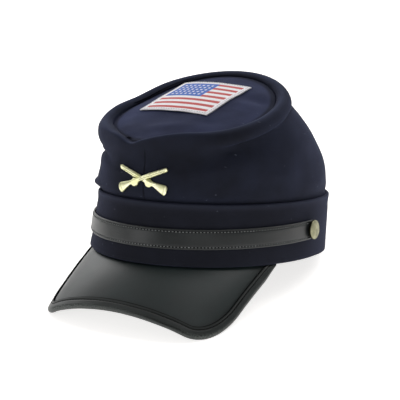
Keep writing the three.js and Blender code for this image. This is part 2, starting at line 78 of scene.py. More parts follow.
# Band: a strip of navy wool cloth folded double, 41 mm high, that stands round the head. Its
# top edge is a soft fold a little proud of the crown, and its lower edge is turned under. The
# crown is sewn inside it.
sew_gap = 0.3
band_half_width = 82.0
band_half_length = 101.3
band_height = 41.0
band_wall = 2.4
band_top_narrowing = 2.0
band_top_shift = 5.7


def band_point(turn, height, inset):
    """A point of the ring that the band follows, at a height and inside its outer face."""
    share = height / band_height
    half_width = band_half_width - band_top_narrowing * share - inset
    return Vector((
        half_width * math.sin(turn),
        -(band_half_length - inset) * math.cos(turn) + band_top_shift * share,
        height,
    ))


def band_normal(turn):
    """The way straight out of the band's outer face."""
    along = band_point(turn + math.pi / 2, 0.0, 0.0)
    upward = band_point(turn, band_height, 0.0) - band_point(turn, 0.0, 0.0)
    return along.cross(upward).normalized()


def turned_between(turn, middle):
    """How far a turn is from one in degrees, the short way round."""
    return (math.degrees(turn) - middle + 180) % 360 - 180


def bell(value, middle, spread):
    """1 at the middle, falling softly to 0 on both sides."""
    return math.exp(-((value - middle) / spread) ** 2)


def ripple(place, length, seed):
    """Soft unevenness between -1 and 1, whose waves are about that long."""
    return noise.noise(Vector(place) / length + Vector((seed, 3.7 * seed, -seed)))


def closed_mesh(name, rows, joined=True, looped=True, marks=None, weave=None, sharp=60.0):
    """A smooth closed piece over rows of points. Joined rows go all the way round the head,
    and looped rows come back to their own start. weave gives each point's place in the cloth,
    and marks give it values that the finish reads."""
    places = np.array([[tuple(point) for point in row] for row in rows])
    count, length = places.shape[:2]
    spans = count if joined else count - 1
    reach = length if looped else length - 1
    i, j = np.meshgrid(np.arange(spans), np.arange(reach), indexing="ij")
    corners = np.stack([
        np.stack([i, j], -1),
        np.stack([i + 1, j], -1),
        np.stack([i + 1, j + 1], -1),
        np.stack([i, j + 1], -1),
    ], axis=2).reshape(-1, 4, 2)
    if not joined and looped:
        half = np.arange(length // 2 - 1)
        for end in (0, count - 1):
            lid = np.stack([half, half + 1, length - 2 - half, length - 1 - half], -1)
            lid = lid if end else lid[:, ::-1]
            corners = np.concatenate([corners, np.stack([np.full_like(lid, end), lid], -1)])
    faces = (corners[..., 0] % count) * length + corners[..., 1] % length
    flat = places.reshape(-1, 3)
    turned = np.cross(flat[faces[:, 1]] - flat[faces[:, 0]], flat[faces[:, 2]] - flat[faces[:, 0]])
    turned += np.cross(flat[faces[:, 2]] - flat[faces[:, 0]], flat[faces[:, 3]] - flat[faces[:, 0]])
    if (turned * flat[faces].mean(axis=1)).sum() < 0:
        corners = corners[:, ::-1]
        faces = faces[:, ::-1]
    if weave is None:
        steps = np.linalg.norm(np.roll(places, -1, 0) - places, axis=2).mean(axis=1)
        across = np.concatenate([[0.0], np.cumsum(steps)])[:, None].repeat(length + 1, 1)
        steps = np.linalg.norm(np.roll(places, -1, 1) - places, axis=2)
        along = np.concatenate([np.zeros((count, 1)), np.cumsum(steps, axis=1)], axis=1)
        along = np.concatenate([along, along[:1]])
        threads = np.stack([across, along], -1)[corners[..., 0], corners[..., 1]]
    else:
        threads = np.array(weave, dtype=float).reshape(-1, 2)[faces]
    mesh = bpy.data.meshes.new(name)
    mesh.from_pydata(flat.tolist(), [], faces.tolist())
    layer = mesh.uv_layers.new(name="weave")
    layer.data.foreach_set("uv", threads.astype(np.float32).ravel())
    for mark, values in (marks or {}).items():
        spread = mesh.attributes.new(mark, "FLOAT", "POINT")
        spread.data.foreach_set("value", np.array(values, dtype=np.float32).ravel())
    mesh.transform(cap_place)
    for vertex in mesh.vertices:
        vertex.co.z = max(vertex.co.z, 0.0)
    tidy_mesh(mesh)
    mesh.shade_smooth()
    mesh.set_sharp_from_angle(angle=math.radians(sharp))
    piece = bpy.data.objects.new(name, mesh)
    bpy.context.collection.objects.link(piece)
    return piece


def tidy_mesh(mesh):
    """Merges points that fall together, as at a dome's middle."""
    work = bmesh.new()
    work.from_mesh(mesh)
    bmesh.ops.remove_doubles(work, verts=work.verts, dist=1e-7)
    work.to_mesh(mesh)
    work.free()


def rounded_edge(radius, start, end, steps):
    """Places on a round edge, as steps out and up from its middle."""
    turns = [math.radians(start + (end - start) * k / steps) for k in range(steps + 1)]
    return [(radius * math.cos(turn), radius * math.sin(turn)) for turn in turns]


def dye(red, green, blue):
    """A colour from its red, green and blue shades, 0 to 255."""
    return (*(((c / 255 + 0.055) / 1.055) ** 2.4 if c > 10 else c / 3295 for c in (red, green, blue)), 1.0)


class Wire:
    """What comes out of one node. The signs on it add Math nodes."""

    def __init__(self, finish, socket):
        self.finish = finish
        self.socket = socket

    def __add__(self, other):
        return self.finish.maths("ADD", self, other)

    def __sub__(self, other):
        return self.finish.maths("SUBTRACT", self, other)

    def __rsub__(self, other):
        return self.finish.maths("SUBTRACT", other, self)

    def __mul__(self, other):
        return self.finish.maths("MULTIPLY", self, other)

    def __truediv__(self, other):
        return self.finish.maths("DIVIDE", self, other)

    __radd__ = __add__
    __rmul__ = __mul__

    def within(self, low, high):
        """0 below low, 1 above high, and even between them."""
        settings = {"clamp": True}
        inputs = {"Value": self, "From Min": low, "From Max": high}
        return self.finish.node("ShaderNodeMapRange", settings, inputs)


class Nodes:
    """A tree of nodes, to which node adds one with its settings and what goes into it."""

    def __init__(self, tree):
        self.tree = tree

    def node(self, kind, settings=None, inputs=None, output=0):
        made = self.tree.nodes.new(kind)
        for name, value in (settings or {}).items():
            setattr(made, name, value)
        for name, value in (inputs or {}).items():
            if isinstance(value, Wire):
                self.tree.links.new(value.socket, made.inputs[name])
            else:
                made.inputs[name].default_value = value
        return None if output is None else Wire(self, made.outputs[output])

    def maths(self, operation, *values):
        return self.node("ShaderNodeMath", {"operation": operation}, dict(enumerate(values)))


class Finish(Nodes):
    """One material. Its sockets that stay the same all over are set by name."""

    def __init__(self, name, **fixed):
        self.material = bpy.data.materials.new(name)
        self.material.use_nodes = True
        super().__init__(self.material.node_tree)
        self.shader = self.tree.nodes["Principled BSDF"]
        self.finish(**fixed)

    def mix(self, factor, first, second):
        return self.node("ShaderNodeMix", {"data_type": "RGBA"}, {0: factor, 6: first, 7: second}, 2)

    def threads(self):
        """The place in the cloth or leather, in millimetres."""
        return self.node("ShaderNodeUVMap", {"uv_map": "weave"})

    def mark(self, name):
        return self.node("ShaderNodeAttribute", {"attribute_name": name}, None, 2)

    def parts(self, vector):
        made = self.node("ShaderNodeSeparateXYZ", None, {0: vector}).socket.node
        return [Wire(self, socket) for socket in made.outputs]

    def noise(self, place, scale, detail=2.0, roughness=0.5):
        inputs = {"Vector": place, "Scale": scale, "Detail": detail, "Roughness": roughness}
        return self.node("ShaderNodeTexNoise", None, inputs)

    def bump(self, height, distance, strength=1.0, onto=None):
        inputs = {"Height": height, "Distance": distance, "Strength": strength}
        if onto:
            inputs["Normal"] = onto
        return self.node("ShaderNodeBump", None, inputs)

    def finish(self, **inputs):
        for socket, value in inputs.items():
            place = self.shader.inputs[socket.replace("_", " ").title().replace("Ior", "IOR")]
            if isinstance(value, Wire):
                self.tree.links.new(value.socket, place)
            else:
                place.default_value = value
        return self.material


def wool(name, dark, light, fuzz_and_highlight):
    """Navy wool cloth: a fine weave under short fibres, faded in patches, with a little lint. Marked folds
    and crests are lighter, partly wear and partly a painted highlight, and marked seams and edges are
    darkened nearly to black as painted shade."""
    finish = Finish(
        name,
        specular_ior_level=0.18,
        sheen_weight=0.1,
        sheen_roughness=0.5,
        sheen_tint=dye(116, 134, 218),
    )
    place = finish.node("ShaderNodeTexCoord", None, None, 3)
    threads = finish.threads()
    across, along, _ = finish.parts(threads)
    pitch = 2 * math.pi / 0.9
    weave = finish.maths("SINE", across * pitch) * finish.maths("SINE", along * pitch)
    fibres = finish.noise(threads, 2.4, 3.0, 0.7)
    patches = finish.noise(place, 34.0, 3.0, 0.55)
    clouds = finish.noise(place, 11.0, 1.0)
    fade = (patches * 0.6 + clouds * 0.4).within(0.36, 0.66)
    color = finish.mix(fade, dark, light)
    # Lighter fuzz where marked: wear, and a painted highlight along folds and crests.
    wear_and_painted_light = finish.mark("wear_and_painted_light") * (patches + 0.4)
    color = finish.mix((wear_and_painted_light + fibres.within(0.62, 0.8) * 0.35).within(0.0, 1.0), color, fuzz_and_highlight)
    lint = finish.noise(threads, 0.4, 0.0).within(0.82, 0.85) * fibres.within(0.5, 0.62)
    color = finish.mix(lint * 0.7, color, dye(120, 124, 140))
    # Painted shade: near-black where marked at seams and at the top's edge.
    color = finish.mix(finish.mark("seam"), color, dye(5, 6, 9))
    cloth_bump = finish.bump(weave * 0.4 + fibres, 0.00016, 0.55)
    normal = finish.bump(patches, 0.0007, 0.5, cloth_bump)
    roughness = 0.86 + fibres * 0.12
    return finish.finish(Base_Color=color, Roughness=roughness, Normal=normal)


def band_rows():
    """The band's section at each turn: up the outer face, over the fold, down inside."""
    fold = 0.5 * band_wall
    upward = [k / 22 for k in range(23)]
    rows = []
    wear_and_painted_light = []
    for k in range(360):
        turn = 2 * math.pi * k / 360
        out = band_normal(turn)
        swell = [0.25 * ripple(band_point(turn, band_height * s, 0), 26, 1.0) for s in upward]
        roll = 0.35 + 0.3 * ripple(band_point(turn, 0, 0), 30, 2.0)
        row = []
        for s, puff in zip(upward, swell):
            height = fold + s * (band_height - 2 * fold)
            edge = roll * bell(1 - s, 0, 0.07) - 0.25 * bell((1 - s) / 0.07, 2.2, 1)
            flare = 1.5 * bell(s, 0, 0.2) * bell(turned_between(turn, -72), 0, 30)
            height -= 1.4 * (1 - s) ** 3 * bell(turned_between(turn, 112), 0, 24)
            row.append(band_point(turn, height, 0) + out * (puff * math.sin(math.pi * s) + edge + flare))
        for x, z in rounded_edge(fold, 0, 180, 8)[1:-1]:
            point = band_point(turn, band_height - fold + z, fold - x)
            row.append(point + out * roll * max(x / fold, 0))
        row += [band_point(turn, fold + (1 - s) * (band_height - 2 * fold), band_wall) for s in upward]
        row += [band_point(turn, fold + z, fold - x) for x, z in rounded_edge(fold, 180, 360, 8)[1:-1]]
        # The band's top fold is marked lighter: wear, and a painted highlight along the fold.
        marks = [bell(1 - s, 0, 0.05) * 0.8 for s in upward]
        marks += [0.8] * 4 + [0.2] * (len(row) - len(upward) - 4)
        rows.append(row)
        wear_and_painted_light.append(marks)
    return rows, wear_and_painted_light


rows, wear_and_painted_light = band_rows()
band = closed_mesh("band_cloth", rows, marks={"wear_and_painted_light": wear_and_painted_light, "seam": np.zeros((len(rows), len(rows[0])))})
band_finish = wool("band wool", dye(21, 22, 28), dye(29, 31, 40), dye(46, 49, 62))
band.data.materials.append(band_finish)
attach(band, "root")
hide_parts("band")


# Crown: one wall of the same cloth, sewn inside the band and closed by a seam down the front.
# It slopes in to the small top, rolls over into a thick soft rim, and its turned-in edge
# carries the top. It is unstiffened, so it has soft folds and sags into the rim's notch.
crown_inset = band_wall + sew_gap
crown_tuck = 8.0
crown_swell = 6.0
# A section of the crown has one point in the tuck, then the wall's, then the roll's
wall_steps = 34
roll_steps = 5
roll_start = wall_steps + 2
crest_at = roll_start + 4 * roll_steps
fold_depth = 6.0
crown_cloth = 1.8
rim_half_width = 63.8
rim_half_length = 65.3
rim_place = (
    Matrix.Translation((0.0, -34.6, 104.3))
    @ Euler((math.radians(20.7), math.radians(-1.1), 0.0), "ZYX").to_matrix().to_4x4()
)
rim_sag = 1.7
roll_width = 10.8
roll_height = 11.0
top_wall = 2.0
top_sink_front = 5.9
top_sink_back = 2.4
top_dome = 4.6
lip_width = 6.0
# How far the wall swells: share of the way up, then its shares at the front, sides and back
wall_swell = [
    (0.0, 0.0, 0.0, 0.0),
    (0.12, 0.35, 0.5, 0.5),
    (0.3, 0.45, 0.95, 1.0),
    (0.5, 0.4, 1.1, 1.2),
    (0.7, 0.3, 0.95, 1.0),
    (0.86, 0.15, 0.5, 0.6),
    (1.0, 0.0, 0.0, 0.0),
]
# The roll round the rim: turn in degrees, how far it hangs down and how far it stands out
roll_shape = [
    (-180, 0.9, 0.9),
    (-120, 1.1, 1.0),
    (-62, 1.5, 1.0),
    (-25, 1.3, 0.35),
    (12, 1.0, 0.35),
    (45, 0.9, 0.95),
    (105, 0.9, 0.95),
    (140, 0.95, 0.7),
]
# Dents (negative) and bulges: turn, spread in degrees, share of the way up, reach, depth
crown_folds = [
    (-75, 30, 0.13, 0.1, 0.55),
    (-60, 22, 0.12, 0.07, 0.3),
    (-66, 30, 0.55, 0.26, -0.62),
    (-62, 26, 0.86, 0.14, -0.45),
    (34, 16, 0.82, 0.14, -0.45),
    (62, 18, 0.88, 0.16, -0.5),
    (118, 26, 0.4, 0.25, 0.35),
    (112, 30, 0.76, 0.24, 0.32),
    (165, 16, 0.55, 0.2, -0.4),
    (-150, 20, 0.45, 0.25, -0.35),
    (49, 4.5, 0.9, 0.05, -0.3),
    (72, 9, 0.42, 0.12, 0.16),
    (96, 11, 0.22, 0.1, 0.18),
    (60, 12, 0.3, 0.12, -0.12),
    (104, 12, 0.6, 0.12, -0.16),
]
# The crease that runs down from under the left of the roll: turn and share of the way up
left_crease = [(-70, 0.78), (-52, 0.86), (-38, 0.86), (-28, 0.8), (-21, 0.72), (-15, 0.63)]
# Waves of the crest: turn, spread in degrees, rise
rim_waves = [(-12.5, 7.5, -4.5), (-2, 7, -0.9), (22, 18, 3.2), (-45, 16, 0.6), (-110, 16, -2.4)]
# Where the roll laps in over the top, and where the top is pressed deeper: the same columns
rim_laps = [(-44, 16, 2.6), (-128, 20, 2.2)]
top_dents = [(-110, 26, 2.3)]


def smooth_curve(a, b, c, d, t):
    """A share t of the way from b to c, on a smooth curve through all four."""
    return b + 0.5 * t * (c - a + t * (2 * a - 5 * b + 4 * c - d + t * (3 * (b - c) + d - a)))


def smooth_between(rows, place, column):
    """A table's value between its rows, on a smooth curve through them."""
    last = len(rows) - 1
    k = next((k for k in range(last) if place <= rows[k + 1][0]), last - 1)
    t = min(max((place - rows[k][0]) / (rows[k + 1][0] - rows[k][0]), 0.0), 1.0)
    a, b, c, d = (rows[min(max(k + n, 0), last)][column] for n in (-1, 0, 1, 2))
    return smooth_curve(a, b, c, d, t)


def round_between(rows, turn, column):
    """A table's value between its rows round the head."""
    start = rows[0][0]
    place = (math.degrees(turn) - start) % 360
    for k, row in enumerate(rows):
        low = row[0] - start
        after = rows[(k + 1) % len(rows)]
        high = after[0] - start if k + 1 < len(rows) else 360
        if place <= high:
            share = 0.5 - 0.5 * math.cos(math.pi * (place - low) / (high - low))
            return row[column] + (after[column] - row[column]) * share


def rim_point(turn, out, up, share=1.0):
    """A point near the crest: out from it, up above it, share of the way from the middle."""
    return rim_place @ Vector((
        share * (rim_half_width + out) * math.sin(turn),
        -share * (rim_half_length + out) * math.cos(turn),
        up + share * share * rim_sag * math.cos(2 * turn),
    ))


def waves_at(waves, turn):
    """The sum of soft waves round the head, each given by its turn, spread and rise."""
    return sum(
        rise * bell(turned_between(turn, middle), 0, spread)
        for middle, spread, rise in waves
    )


def sink_at(turn, dented=1.0):
    """How far the top lies below the crest at its edge."""
    share = 0.5 - 0.5 * math.cos(turned_between(turn, 0) * math.pi / 180)
    sink = top_sink_front + (top_sink_back - top_sink_front) * share
    return sink + dented * waves_at(top_dents, turn)


def fold_at(turn, rise):
    depth = 0.0
    for middle, spread, level, reach, share in crown_folds:
        near = (turned_between(turn, middle) / spread) ** 2 + ((rise - level) / reach) ** 2
        depth += share * fold_depth * math.exp(-near)
    away = turned_between(turn, 0)
    if left_crease[0][0] - 30 < away < left_crease[-1][0] + 15:
        gap = rise - smooth_between(left_crease, away, 1)
        fade = 1 / (1 + math.exp((away - left_crease[-1][0] + 4) / 2.5))
        depth += fade * (-2.2 * bell(gap, 0, 0.05) + 1.3 * bell(gap, 0.13, 0.09))
    return depth * math.sin(math.pi * min(rise * 4, 0.5))


def wall_point(turn, rise):
    """A point of the crown's wall, a share of the way from the band to the roll's crease."""
    foot = band_point(turn, band_height, crown_inset)
    drop = round_between(roll_shape, turn, 1)
    hang = round_between(roll_shape, turn, 2)
    head = rim_point(turn, 0.36 * roll_width * hang, -roll_height * drop)
    facing = math.cos(turn)
    end = smooth_between(wall_swell, rise, 1 if facing > 0 else 3)
    side = smooth_between(wall_swell, rise, 2)
    swell = crown_swell * (side + (end - side) * facing * facing)
    return foot.lerp(head, rise) + band_normal(turn) * (swell + fold_at(turn, rise))


def smooth_line(points, steps):
    """More points on a smooth curve through these."""
    line = []
    last = len(points) - 1
    for k in range(last):
        around = [Vector(points[min(max(k + n, 0), last)]) for n in (-1, 0, 1, 2)]
        line += [smooth_curve(*around, n / steps) for n in range(steps)]
    return line + [Vector(points[last])]


def roll_line(turn):
    """The roll's section, from the crease over the crest to the lip under the top."""
    drop = round_between(roll_shape, turn, 1)
    hang = round_between(roll_shape, turn, 2)
    wave = waves_at(rim_waves, turn)
    lap = waves_at(rim_laps, turn)
    sink = sink_at(turn)
    ease = sink / top_sink_front
    outside = [(0.36, -1.0, 0.0), (0.5, -0.76, 0.2), (0.52, -0.48, 0.5), (0.36, -0.16, 0.8)]
    line = [(x * roll_width * hang, y * roll_height * drop + w * wave) for x, y, w in outside]
    line.append((0.0, wave))
    line.append((-0.3 * roll_width - 0.5 * lap, -0.12 * roll_height * ease + wave))
    line.append((-0.46 * roll_width - lap, -0.34 * roll_height * ease + 0.6 * wave))
    line.append((-0.5 * roll_width + 0.3, -sink + 0.1 * sink))
    lip = -sink - top_wall - sew_gap
    line.append((-0.5 * roll_width, lip + 0.5))
    line.append((-0.5 * roll_width - 0.5, lip))
    line.append((-0.5 * roll_width - lip_width, lip))
    return smooth_line([(x, y, 0.0) for x, y in line], roll_steps)


def crown_turns():
    """Turns round the crown, closer together along the front seam."""
    turns = [2 * math.pi * k / 340 for k in range(3, 338)]
    seam = [math.radians(0.28 * k) for k in range(-11, 12)]
    return sorted(turns + [turn % (2 * math.pi) for turn in seam])


def crown_rows():
    rows = []
    wear_and_painted_light = []
    painted_seam_shade = []
    turns = crown_turns()
    for turn in turns:
        rises = [k / wall_steps for k in range(wall_steps + 1)]
        row = [band_point(turn, band_height - crown_tuck, crown_inset)]
        row += [wall_point(turn, rise) for rise in rises]
        row += [rim_point(turn, step.x, step.y) for step in roll_line(turn)[1:]]
        off_seam = turned_between(turn, 0) * math.pi / 180 * band_half_width
        pinch = bell(off_seam, 0, 0.7)
        shallow = [min(1.0, k / 4) for k in range(len(row))]
        for k in range(roll_start, len(row)):
            shallow[k] = max(0.0, 1 - (k - roll_start) / 8)
        out = band_normal(turn)
        for k in range(1, len(row)):
            row[k] = row[k] + out * 0.35 * shallow[k] * ripple(row[k], 17, 5.0)
            row[k] = row[k] - out * 0.45 * shallow[k] * pinch
        soften = math.exp(-(turned_between(turn, 4) / 32) ** 4)
        for _ in range(40):
            for k in range(roll_start - 12, crest_at + 8):
                pull = (0.9 if k < crest_at - 6 else 0.22) * soften
                row[k] = row[k].lerp(0.5 * (row[k - 1] + row[k + 1]), pull)
        # Lighter along the roll's crest: wear, and a painted highlight where the fold catches the light.
        crest = [bell(k, crest_at, 3.5) * 0.6 for k in range(len(row))]
        rows.append(row)
        wear_and_painted_light.append(crest)
        # Painted shade: the cloth is darkened along the front seam's pinch.
        painted_seam_shade.append([0.75 * pinch * value for value in shallow])
    return rows, wear_and_painted_light, painted_seam_shade


def walled(rows, wall, stride):
    """Closes rows of outer points with inner ones, that far inside and fewer of them."""
    places = np.array([[tuple(point) for point in row] for row in rows])
    along = np.roll(places, -1, 0) - np.roll(places, 1, 0)
    across = np.gradient(places, axis=1)
    normal = np.cross(along, across)
    normal /= np.linalg.norm(normal, axis=2)[..., None]
    inner = (places - wall * normal)[:, ::-1]
    kept = sorted(set(range(0, inner.shape[1], stride)) | {inner.shape[1] - 1})
    return np.concatenate([places, inner[:, kept]], axis=1), kept


rows, wear_and_painted_light, painted_seam_shade = crown_rows()
closed, kept = walled(rows, crown_cloth, 3)
inside = np.zeros((len(rows), len(kept)))
crown = closed_mesh("crown_cloth", closed, marks={
    "wear_and_painted_light": np.concatenate([wear_and_painted_light, inside], axis=1),
    "seam": np.concatenate([painted_seam_shade, inside], axis=1),
})
crown_finish = wool("crown wool", dye(20, 22, 30), dye(29, 33, 47), dye(51, 57, 78))
crown.data.materials.append(crown_finish)
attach(crown, "root")
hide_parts("crown_side")


# Top: an oval disc of the cloth, slightly domed, sewn onto the crown's lip inside the roll. It
# catches the light from above, and puckers a little towards its front edge.
top_inset = 0.5 * roll_width + sew_gap
top_half_width = 58
top_half_length = 60
top_rings = 30
top_edge = 0.015
# Soft folds of the top: place across and back from its middle, the way it runs in degrees,
# half its length, half its width, and its rise
top_folds = [
    (43, 17, -22, 13, 5.0, -1.5),
    (44, 27, -30, 14, 5.0, 0.8),
    (34, 8, -20, 12, 5.0, 0.6),
    (-16, -26, 10, 15, 11.0, -1.0),
    (-36, -36, -48, 16, 6.0, 0.9),
    (4, -36, 8, 18, 5.5, 0.9),
    (26, -26, 12, 9, 5.0, -0.5),
    (-45, -12, -70, 10, 5.0, -0.5),
]


def top_fold(x, y):
    rise = 0.0
    for across, back_from, way, length, width, height in top_folds:
        turn = math.radians(way)
        along = (x - across) * math.cos(turn) + (y - back_from) * math.sin(turn)
        aside = (y - back_from) * math.cos(turn) - (x - across) * math.sin(turn)
        rise += height * math.exp(-(along / length) ** 2 - (aside / width) ** 2)
    return rise


def top_point(turn, share, lift):
    middle = 0.5 * (top_sink_front + top_sink_back)
    sink = middle + (sink_at(turn, 0.0) - middle) * share + waves_at(top_dents, turn) * share ** 3
    x = share * top_half_width * math.sin(turn)
    y = -share * top_half_length * math.cos(turn)
    fold = top_fold(x, y) * (1 - share ** 10)
    return rim_point(turn, -top_inset, fold - sink + top_dome * (1 - share * share) + lift, share)


def pucker(turn, share):
    """Small folds in the top, stronger towards the front edge."""
    reach = share * top_half_length
    flat = (reach * math.sin(turn), reach * math.cos(turn), 0)
    front = bell(turned_between(turn, -15), 0, 50) * bell(share, 0.86, 0.16)
    return 0.45 * ripple(flat, 22, 7.0) + 1.1 * front * ripple(flat, 12, 9.0)


def top_rows():
    shares = [k / top_rings * (1 - top_edge) for k in range(top_rings + 1)]
    rows = []
    weave = []
    for k in range(160):
        turn = 2 * math.pi * k / 160
        upper = [top_point(turn, s, pucker(turn, s) * (1 - s ** 12)) for s in shares]
        edge = [top_point(turn, 1 - top_edge + top_edge * x, y - 1) for x, y in rounded_edge(1.0, 80, -80, 6)]
        lower = [top_point(turn, s, -top_wall) for s in reversed(shares)]
        row = upper + edge + lower
        rows.append(row)
        flat = [rim_place.inverted() @ point for point in row]
        weave.append([(point.x, point.y) for point in flat])
    return rows, weave


rows, weave = top_rows()
blank = np.zeros((len(rows), len(rows[0])))
# Painted shadow: the top's outer edge and its underside are darkened where the roll overhangs it.
edge_painted_shadow = blank.copy()
edge_painted_shadow[:, top_rings - 1:] = 0.8
top = closed_mesh("top_cloth", rows, looped=False, weave=weave, marks={"wear_and_painted_light": blank, "seam": edge_painted_shadow})
top_finish = wool("top wool", dye(34, 38, 58), dye(48, 54, 82), dye(76, 84, 114))
top.data.materials.append(top_finish)
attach(top, "root")
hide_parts("crown_top")


# Flag patch: a small printed cloth flag with a white edge, laid on the top and sewn down all
# round. It lies a little askew, with the stars at the back on the wearer's right.
patch_width = 61.0
patch_length = 54.0
patch_wall = 1.0
patch_twist = math.radians(-8.2)
patch_back = 13.2
patch_aside = -5.2
patch_border = 3.4
patch_sewn_in = 1.3
canton_share = 0.605


def sheet_rows(grid, half, rim_steps=6):
    """Sections of a sheet with a wall of twice half round a grid of middle points. Its two
    long edges are round."""
    places = np.array([[tuple(point) for point in row] for row in grid])
    normal = np.cross(np.gradient(places, axis=0), np.gradient(places, axis=1))
    normal /= np.linalg.norm(normal, axis=2)[..., None]
    arc = [math.pi * k / rim_steps for k in range(1, rim_steps)]

    def edge(column, inner, turn_from):
        out = places[:, column] - places[:, inner]
        out /= np.linalg.norm(out, axis=1)[:, None]
        side = normal[:, column]
        points = [
            places[:, column] + half * (out * math.sin(turn) + turn_from * side * math.cos(turn))
            for turn in arc
        ]
        return np.stack(points, axis=1)

    upper = places + half * normal
    lower = (places - half * normal)[:, ::-1]
    near = edge(0, 1, -1)
    middle = len(arc) // 2
    return np.concatenate([near[:, middle:], upper, edge(-1, -2, 1), lower, near[:, :middle]], axis=1)


def patch_point(x, y, lift):
    """A point over the top at a place on the patch, in millimetres from its middle."""
    across = (
        (x * math.cos(patch_twist) - y * math.sin(patch_twist) + patch_aside)
        / (rim_half_width - top_inset)
    )
    ahead = (
        -(x * math.sin(patch_twist) + y * math.cos(patch_twist) + patch_back)
        / (rim_half_length - top_inset)
    )
    return top_point(math.atan2(across, ahead), math.hypot(across, ahead), lift)


def patch_wave(x, y):
    """How far a place is from the patch's edge, and the soft wave of the cloth there."""
    edge = min(0.5 * patch_width - abs(x), 0.5 * patch_length - abs(y))
    return edge, 0.35 * ripple((x, y, 0), 15, 11.0) * math.exp(-edge / 8)


def patch_rows():
    grid = []
    for k in range(53):
        x = patch_width * (k / 52 - 0.5)
        row = []
        for n in range(43):
            y = patch_length * (n / 42 - 0.5)
            edge, wave = patch_wave(x, y)
            hem = 0.25 * bell(edge, 1.2, 1.1)
            row.append(patch_point(x, y, sew_gap + 0.5 * patch_wall + wave + hem))
        grid.append(row)
    rows = sheet_rows(grid, 0.42 * patch_wall)
    flat = np.array([[(rim_place.inverted() @ Vector(point))[:2] for point in row] for row in rows])
    flat -= (patch_aside, patch_back)
    turn = np.array([
        [math.cos(patch_twist), -math.sin(patch_twist)],
        [math.sin(patch_twist), math.cos(patch_twist)],
    ])
    return rows, flat @ turn


def flag_cloth():
    """Thirteen stripes, a blue corner with five rows of seven stars, and a white edge, on fine
    threads."""
    finish = Finish("flag print", specular_ior_level=0.25, sheen_weight=0.1)
    across, ahead, _ = finish.parts(finish.threads())
    inner_width = patch_width - 2 * patch_border
    inner_length = patch_length - 2 * patch_border
    s = (across + 0.5 * inner_width) / inner_width
    t = (ahead + 0.5 * inner_length) / inner_length
    ragged = finish.noise(finish.threads(), 1.6, 1.0) * 0.006 - 0.003
    stripe = finish.maths("FRACT", (t + ragged) * 6.5)
    red_stripe = stripe.within(0.5, 0.46)
    inside = s.within(0.0, 0.006) * s.within(1.0, 0.994) * t.within(0.0, 0.008) * t.within(1.0, 0.992)
    canton = s.within(canton_share + 0.003, canton_share - 0.003) * t.within(0.458, 0.466)
    column = s * (8 / canton_share)
    row = (t - 0.4615) * (6 / 0.5385)
    spot_x = column - finish.maths("ROUND", column)
    spot_y = row - finish.maths("ROUND", row)
    kept = column.within(0.45, 0.55) * column.within(7.55, 7.45)
    kept = kept * row.within(0.45, 0.55) * row.within(5.55, 5.45)
    reach = finish.maths("SQRT", spot_x * spot_x * 1.1 + spot_y * spot_y)
    points = finish.maths("COSINE", finish.maths("ARCTAN2", spot_x, spot_y) * 5.0) * 0.07 + 0.24
    star = (reach - points).within(0.04, -0.04) * kept
    white = dye(250, 247, 250)
    color = finish.mix(inside * red_stripe, white, dye(200, 84, 80))
    color = finish.mix(canton * inside, color, dye(70, 112, 196))
    color = finish.mix(canton * star * inside, color, white)
    soil = finish.noise(finish.threads(), 0.11, 3.0).within(0.45, 0.8)
    color = finish.mix(soil * 0.08, color, dye(150, 146, 142))
    rib = finish.maths("SINE", ahead * (2 * math.pi / 0.55))
    fibres = finish.noise(finish.threads(), 3.0, 2.0)
    normal = finish.bump(rib * 0.4 + fibres, 0.00012, 0.6)
    return finish.finish(Base_Color=color, Roughness=0.7 + fibres * 0.15, Normal=normal)


def stitch_tree(name, material):
    """Geometry Nodes that lay one stitch after another along a line."""
    tree = bpy.data.node_groups.new(name, "GeometryNodeTree")
    for socket, kind in (
        ("Line", "NodeSocketGeometry"),
        ("Pitch", "NodeSocketFloat"),
        ("Stitch Length", "NodeSocketFloat"),
        ("Thread", "NodeSocketFloat"),
        ("Unevenness", "NodeSocketFloat"),
    ):
        tree.interface.new_socket(socket, in_out="INPUT", socket_type=kind)
    tree.interface.new_socket("Stitches", in_out="OUTPUT", socket_type="NodeSocketGeometry")
    maker = Nodes(tree)
    given = maker.node("NodeGroupInput").socket.node
    sizes = {socket.name: Wire(maker, socket) for socket in given.outputs if socket.name}
    curve = maker.node("GeometryNodeMeshToCurve", None, {"Mesh": sizes["Line"]})
    points = maker.node(
        "GeometryNodeCurveToPoints", {"mode": "LENGTH"}, {"Curve": curve, "Length": sizes["Pitch"]}
    )
    turn = Wire(maker, points.socket.node.outputs["Rotation"])
    ball = maker.node("GeometryNodeMeshUVSphere", None, {"Segments": 7, "Rings": 5, "Radius": 1.0})
    thread = {0: sizes["Thread"], 1: sizes["Thread"], 2: sizes["Stitch Length"] * 0.5}
    shape = maker.node("ShaderNodeCombineXYZ", None, thread)
    stitch = maker.node("GeometryNodeTransform", None, {"Geometry": ball, "Scale": shape})
    change = {2: 1 - sizes["Unevenness"], 3: 1 + sizes["Unevenness"], "Seed": 5}
    uneven = maker.node("FunctionNodeRandomValue", {"data_type": "FLOAT"}, change, 1)
    laid = {"Points": points, "Instance": stitch, "Rotation": turn, "Scale": uneven}
    placed = maker.node("GeometryNodeInstanceOnPoints", None, laid)
    real = maker.node("GeometryNodeRealizeInstances", None, {"Geometry": placed})
    smooth = maker.node("GeometryNodeSetShadeSmooth", None, {"Geometry": real})
    dressed = {"Geometry": smooth, "Material": material}
    made = maker.node("GeometryNodeSetMaterial", None, dressed)
    maker.node("NodeGroupOutput", None, {"Stitches": made}, None)
    return tree


